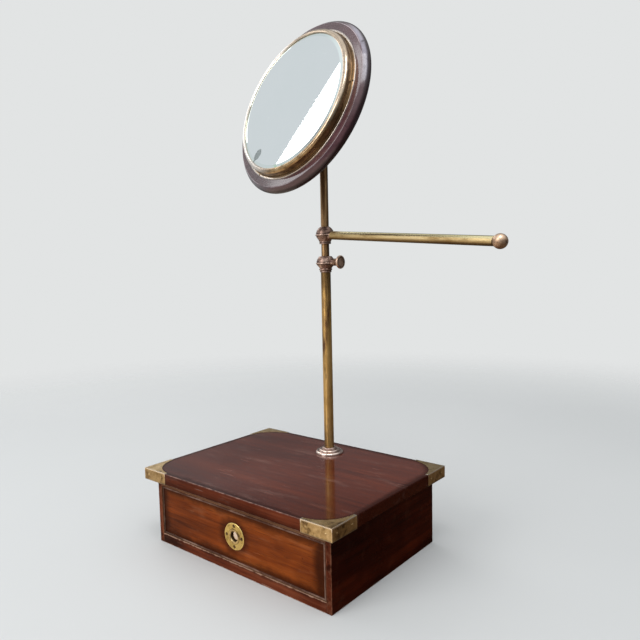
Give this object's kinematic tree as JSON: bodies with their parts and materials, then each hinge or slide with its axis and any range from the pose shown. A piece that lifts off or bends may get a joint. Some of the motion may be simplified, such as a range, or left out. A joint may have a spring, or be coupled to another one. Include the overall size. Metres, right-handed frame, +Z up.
{
  "type": "shaving mirror",
  "caption": "Table shaving mirror: a round tilting mirror and a swinging arm on a telescopic brass pole over a mahogany box with a drawer and brass corners.",
  "frame": {"origin": "middle of the box's underside, on the table", "axes": "+Z up along the pole, -Y towards the drawer's front, +X to the right seen from the front"},
  "size_m": [0.4179, 0.2296, 0.6554],
  "materials": {
    "mahogany": "satin",
    "mahogany_dark": "satin",
    "mahogany_light": "satin",
    "drawer_wood": "matte",
    "aged_brass": "satin",
    "pole_brass": "satin",
    "collar_brass": "satin",
    "bright_brass": "polished",
    "plated_flange": "satin",
    "mirror_glass": "polished"
  },
  "bodies": {
    "base": {"bottom_board": "mahogany", "side_left": "mahogany_dark", "side_right": "mahogany_dark", "back_panel": "mahogany_dark", "top_rail": "mahogany", "kicker_strips": "drawer_wood", "drawer_stops": "drawer_wood", "top_board": "mahogany", "corner_front_left": "aged_brass", "corner_front_right": "aged_brass", "corner_back_left": "aged_brass", "corner_back_right": "aged_brass", "corner_pins": "aged_brass", "pole_flange": "plated_flange", "outer_tube": "pole_brass", "pole_nut": "aged_brass", "clamp_collar": "collar_brass"},
    "thumbscrew_body": {"thumbscrew": "collar_brass"},
    "swivel": {"clamp_bush": "pole_brass"},
    "rod": {"inner_rod": "pole_brass", "arm_collar": "collar_brass", "arm": "bright_brass", "arm_ball": "collar_brass", "rod_fork": "aged_brass", "tilt_screw": "aged_brass", "tilt_nut": "aged_brass"},
    "mirror": {"hinge_lug": "aged_brass", "lug_screws": "aged_brass", "mirror_back": "mahogany", "backing_board": "drawer_wood", "mirror_glass": "mirror_glass", "bezel": "bright_brass", "bezel_screws": "aged_brass"},
    "drawer": {"drawer_front": "mahogany_light", "cock_bead": "mahogany_dark", "drawer_side_left": "drawer_wood", "drawer_side_right": "drawer_wood", "drawer_back": "drawer_wood", "drawer_bottom": "drawer_wood", "socket_plate": "aged_brass", "socket": "aged_brass", "plate_screws": "aged_brass"}
  },
  "joints": [
    {"name": "thumbscrew_turn", "type": "hinge", "parent": "base", "child": "thumbscrew_body", "pos_m": [0, 0.074, 0.35505], "axis": [1, 0, 0], "range_deg": [0, 540]},
    {"name": "rod_swivel", "type": "hinge", "parent": "base", "child": "swivel", "pos_m": [0, 0.074, 0.35], "axis": [0, 0, 1], "continuous": true},
    {"name": "rod_slide", "type": "slide", "parent": "swivel", "child": "rod", "axis": [0, 0, 1], "range_m": [-0.015, 0.12]},
    {"name": "mirror_tilt", "type": "hinge", "parent": "rod", "child": "mirror", "pos_m": [0, 0.074, 0.5355], "axis": [-0.9893, 0.1461, 0], "range_deg": [-31, 70]},
    {"name": "drawer_slide", "type": "slide", "parent": "base", "child": "drawer", "axis": [0, -1, 0], "range_m": [0, 0.15]}
  ]
}
